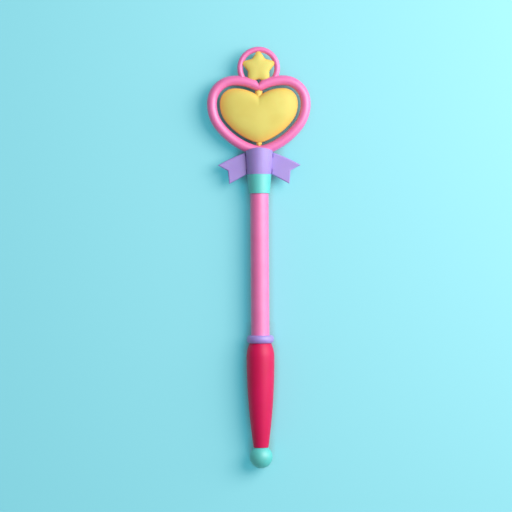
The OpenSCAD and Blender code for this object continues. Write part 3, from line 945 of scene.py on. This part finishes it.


# %% [markdown]
# ABS has an IOR of about 1.53. The grain from the spark-eroded mould is about 0.1 mm, far below what
# the render can show, so it is drawn five times coarser. A low bump from it breaks up the gloss, and
# the broad veil of light that is left on the lit side is what makes the plastic look satin. A little
# subsurface light softens the shades. The yellow mouldings get a warmer colour mixed in by the height
# above their seam, which is painted warm shade and bounced light along their edges.

# %% The recipe for moulded ABS
ABS_IOR = 1.53
FLOW = 18 * MM
FLOW_DEEP = 0.2
FLOW_PALE = 0.6
GLOSS_DRIFT = 0.04
GRAIN = 0.5 * MM
GRAIN_DEPTH = 0.05 * MM
GRAIN_STRENGTH = 0.12
LEAST_SPECULAR = 0.25
SUBSURFACE = 0.25
REDDER_SCATTER = (2, 1, 1)
PAINTED_EDGE_FROM = 1 * MM


def moulded_abs(name, colour, deep, gloss, sheen, painted_edge_shade=None, painted_edge_reach=0):
    """Moulded ABS: a drifting colour, a fine grain, a satin veil on the lit side and a painted edge
    shade.
    """
    material = bpy.data.materials.new(name)
    material.use_nodes = True
    tree = material.node_tree
    tree.nodes.clear()
    place = put(tree, "ShaderNodeTexCoord").outputs["Object"]
    flow = put(tree, "ShaderNodeTexNoise", Vector=place, Scale=1 / FLOW, Detail=2)
    tone = put(tree, "ShaderNodeValToRGB", Fac=flow.outputs["Fac"])
    deep_end, pale_end = tone.color_ramp.elements
    deep_end.color = linear(deep)
    deep_end.position = FLOW_DEEP
    pale_end.color = linear(colour)
    pale_end.position = FLOW_PALE
    body_colour = tone.outputs["Color"]
    # Painted shade: towards the seam a warmer, deeper colour is mixed in, by the height alone.
    if painted_edge_shade:
        height = put(tree, "ShaderNodeSeparateXYZ", Vector=place).outputs["Z"]
        over = put(tree, "ShaderNodeMath", {"operation": "SUBTRACT"}, [height, axis_z])
        off_seam = put(tree, "ShaderNodeMath", {"operation": "ABSOLUTE"}, [over.outputs[0]])
        near = put(
            tree,
            "ShaderNodeMapRange",
            {"interpolation_type": "SMOOTHSTEP"},
            Value=off_seam.outputs[0],
            From_Min=PAINTED_EDGE_FROM,
            From_Max=painted_edge_reach,
            To_Min=1,
            To_Max=0,
        )
        painted_edge_mix = put(
            tree,
            "ShaderNodeMixRGB",
            Fac=near.outputs["Result"],
            Color1=body_colour,
            Color2=linear(painted_edge_shade),
        )
        body_colour = painted_edge_mix.outputs["Color"]
    rough = put(
        tree,
        "ShaderNodeMapRange",
        Value=flow.outputs["Fac"],
        To_Min=gloss + GLOSS_DRIFT,
        To_Max=gloss - GLOSS_DRIFT,
    )
    grain = put(tree, "ShaderNodeTexNoise", Vector=place, Scale=1 / GRAIN, Detail=1)
    bump = put(
        tree,
        "ShaderNodeBump",
        Strength=GRAIN_STRENGTH,
        Distance=GRAIN_DEPTH,
        Height=grain.outputs["Fac"],
    )
    skin = put(
        tree,
        "ShaderNodeBsdfPrincipled",
        Base_Color=body_colour,
        Roughness=rough.outputs["Result"],
        Normal=bump.outputs["Normal"],
        IOR=ABS_IOR,
        Specular_IOR_Level=LEAST_SPECULAR + (1 - LEAST_SPECULAR) * sheen,
        Coat_Weight=sheen,
        Coat_Roughness=gloss,
        Subsurface_Weight=SUBSURFACE,
        Subsurface_Radius=REDDER_SCATTER,
        Subsurface_Scale=MM,
    )
    put(tree, "ShaderNodeOutputMaterial", Surface=skin.outputs["BSDF"])
    return material


# %% [markdown]
# The rim and the shaft are nearly the same satin pink, which turns almost white on the lit side. The
# mint and purple mouldings have that veil too. The magenta grip is dyed deep and has hardly any, so
# it stays full in colour, and the yellow of the heart and the star is matt.

# %% The finishes
frame_pink = moulded_abs("moulded ABS, rim pink", "#F87ABF", "#F270B7", gloss=0.5, sheen=1)
shaft_pink = moulded_abs("extruded ABS, shaft pink", "#FA7ABE", "#F470B6", gloss=0.55, sheen=1)
grip_magenta = moulded_abs("moulded ABS, magenta", "#DC045C", "#D40254", gloss=0.5, sheen=0.15)
ribbon_purple = moulded_abs(
    "moulded ABS, ribbon purple", "#AC94E2", "#A389DC", gloss=0.55, sheen=0.8
)
mint = moulded_abs("moulded ABS, mint", "#5CD8D3", "#50CFC9", gloss=0.55, sheen=1)
# The star and heart finishes carry a painted warm shade along their edges, towards the seam.
star_yellow = moulded_abs(
    "moulded ABS, star yellow",
    "#E4DA74",
    "#DECF68",
    gloss=0.65,
    sheen=0.2,
    painted_edge_shade="#F2C45C",
    painted_edge_reach=4 * MM,
)
heart_yellow = moulded_abs(
    "moulded ABS, heart yellow",
    "#E2D770",
    "#DCCC64",
    gloss=0.65,
    sheen=0.2,
    painted_edge_shade="#F8C25A",
    painted_edge_reach=7 * MM,
)
print("finishes:", ", ".join(m.name for m in bpy.data.materials if "ABS" in m.name))

# %% [markdown]
# ## Dress the frame
# Each row gives a piece, the body of the frame that it rides on, the solid that it stands for, a
# material slot that isn't used, and its material. The piece is hung on its body, the solid is hidden
# and the piece gets its material. The heart and its axle ride on the heart's own body.

# %% Hand each piece over to its body
DRESS = [
    (rim_front, "wand", "heart_frame_front", "frame_pink", frame_pink),
    (rim_rear, "wand", "heart_frame_rear", "frame_pink", frame_pink),
    (shell_front, "heart", "heart_shell_front", "yellow", heart_yellow),
    (shell_rear, "heart", "heart_shell_rear", "yellow", heart_yellow),
    (axle, "heart", "heart_axle", "yellow", star_yellow),
    (hoop, "wand", "star_hoop", "frame_pink", frame_pink),
    (star, "wand", "star", "yellow", star_yellow),
    (collar, "wand", "ribbon_collar", "ribbon_purple", ribbon_purple),
    (tail_left, "wand", "ribbon_tail_left", "ribbon_purple", ribbon_purple),
    (tail_right, "wand", "ribbon_tail_right", "ribbon_purple", ribbon_purple),
    (sleeve, "wand", "neck_sleeve", "mint", mint),
    (shaft, "wand", "shaft_tube", "shaft_pink", shaft_pink),
    (ring, "wand", "grip_ring", "ribbon_purple", ribbon_purple),
    (grip, "wand", "grip", "grip_magenta", grip_magenta),
    (ball, "wand", "end_ball", "mint", mint),
]
for piece, body, node, slot, material in DRESS:
    piece.data.materials.clear()
    piece.data.materials.append(material)
    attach(piece, body)
    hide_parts(node)
print(f"{len(DRESS)} pieces dressed")

# %% [markdown]
# ## Floor
# The wand lies on a plain pale aqua surface. A single wide plane is enough, and it isn't part of the
# object. A diffuse paint takes the shadow. A faint aqua glow that only the camera and reflections see
# is painted light: it keeps the shadow as coloured as the rest and puts no light on the wand. Ambient
# occlusion dims it in the narrow gaps under the wand, which paints a darker shade there.

# %% Lay the floor
FLOOR_SIZE = 6.0
GAP_REACH = 14 * MM
GAP_SAMPLES = 8
SHUT = 0.45
OPEN = 0.72
FLOOR_PAINT = "#98BFC0"
FLOOR_PAINTED_GLOW = "#008FA2"
bpy.ops.object.select_all(action="DESELECT")
bpy.ops.mesh.primitive_plane_add(size=FLOOR_SIZE)
floor = named("pale_floor")
floor_paint_and_glow = bpy.data.materials.new("matt paint, pale aqua, painted glow")
floor_paint_and_glow.use_nodes = True
tree = floor_paint_and_glow.node_tree
tree.nodes.clear()
rays = put(tree, "ShaderNodeLightPath").outputs
seen = rays["Is Camera Ray"]
for other in ("Is Glossy Ray", "Is Transmission Ray"):
    seen = put(tree, "ShaderNodeMath", {"operation": "MAXIMUM"}, [seen, rays[other]]).outputs[0]
# Painted shade: ambient occlusion dims the glow in the narrow gaps under the wand.
sky = put(tree, "ShaderNodeAmbientOcclusion", {"samples": GAP_SAMPLES}, Distance=GAP_REACH)
painted_gap_shade = put(tree, "ShaderNodeMapRange", Value=sky.outputs["AO"], From_Min=SHUT, From_Max=OPEN)
strength = put(tree, "ShaderNodeMath", {"operation": "MULTIPLY"}, [seen, painted_gap_shade.outputs["Result"]])
# Painted light: an aqua glow that only the camera and reflections see.
glow = put(tree, "ShaderNodeEmission", Color=linear(FLOOR_PAINTED_GLOW), Strength=strength.outputs[0])
paint = put(tree, "ShaderNodeBsdfDiffuse", Color=linear(FLOOR_PAINT))
both = put(tree, "ShaderNodeAddShader", None, [paint.outputs["BSDF"], glow.outputs["Emission"]])
put(tree, "ShaderNodeOutputMaterial", Surface=both.outputs["Shader"])
floor.data.materials.append(floor_paint_and_glow)
print(f"{floor.name}: {FLOOR_SIZE:.0f} m square")

# %% [markdown]
# ## Camera and light
# The view is straight down from far above, so there is hardly any perspective, and the wand leans a
# touch to the left. Both lamps are large discs on the right, because a large lamp gives soft edges:
# the key stands high and makes the shadow on the left, and the side lamp stands low and brightens
# the right flanks. A pale room fills the shades. It is kept out of reflections, which would
# otherwise lay a grey film over the dark flanks.

# %% Place the camera
FIELD = 445.4 * MM
CAMERA_X = -3.3 * MM
CAMERA_Y = 1.3 * MM
CAMERA_H = 2.175
SENSOR_MM = 36
LEAN = math.radians(-0.38)
bpy.ops.object.camera_add(
    location=(CAMERA_X, CAMERA_Y, axis_z + CAMERA_H),
    rotation=(0, 0, LEAN),
)
camera = bpy.context.object
camera.data.sensor_width = SENSOR_MM
camera.data.lens = SENSOR_MM * CAMERA_H / FIELD
bpy.context.scene.camera = camera
print(f"lens {camera.data.lens:.0f} mm")

# %% Light it
KEY_PLACE = Vector((0.64, 0.34, 0.84))
KEY_SIZE = 0.8
KEY_POWER = 11
SIDE_PLACE = Vector((1.17, 0.28, 0.45))
SIDE_SIZE = 1.0
SIDE_POWER = 6.5


def softbox(name, place, size, power):
    """A round soft lamp that faces the middle of the wand."""
    bpy.ops.object.light_add(type="AREA", location=place)
    lamp = bpy.context.object
    lamp.name = name
    lamp.rotation_euler = (-place).to_track_quat("-Z", "Y").to_euler()
    lamp.data.shape = "DISK"
    lamp.data.size = size
    lamp.data.energy = power
    print(f"{name} lamp: {size} m wide, {power} W")


softbox("key", KEY_PLACE, KEY_SIZE, KEY_POWER)
softbox("side", SIDE_PLACE, SIDE_SIZE, SIDE_POWER)

# %% Add the pale room
ROOM_COLOUR = "#FAF4F6"
ROOM_STRENGTH = 0.33
scene = bpy.context.scene
world = bpy.data.worlds.new("pale room")
scene.world = world
world.use_nodes = True
room = world.node_tree.nodes["Background"]
room.inputs["Color"].default_value = linear(ROOM_COLOUR)
room.inputs["Strength"].default_value = ROOM_STRENGTH
world.cycles_visibility.glossy = False
scene.view_settings.view_transform = "Standard"
print(f"room at strength {ROOM_STRENGTH}")
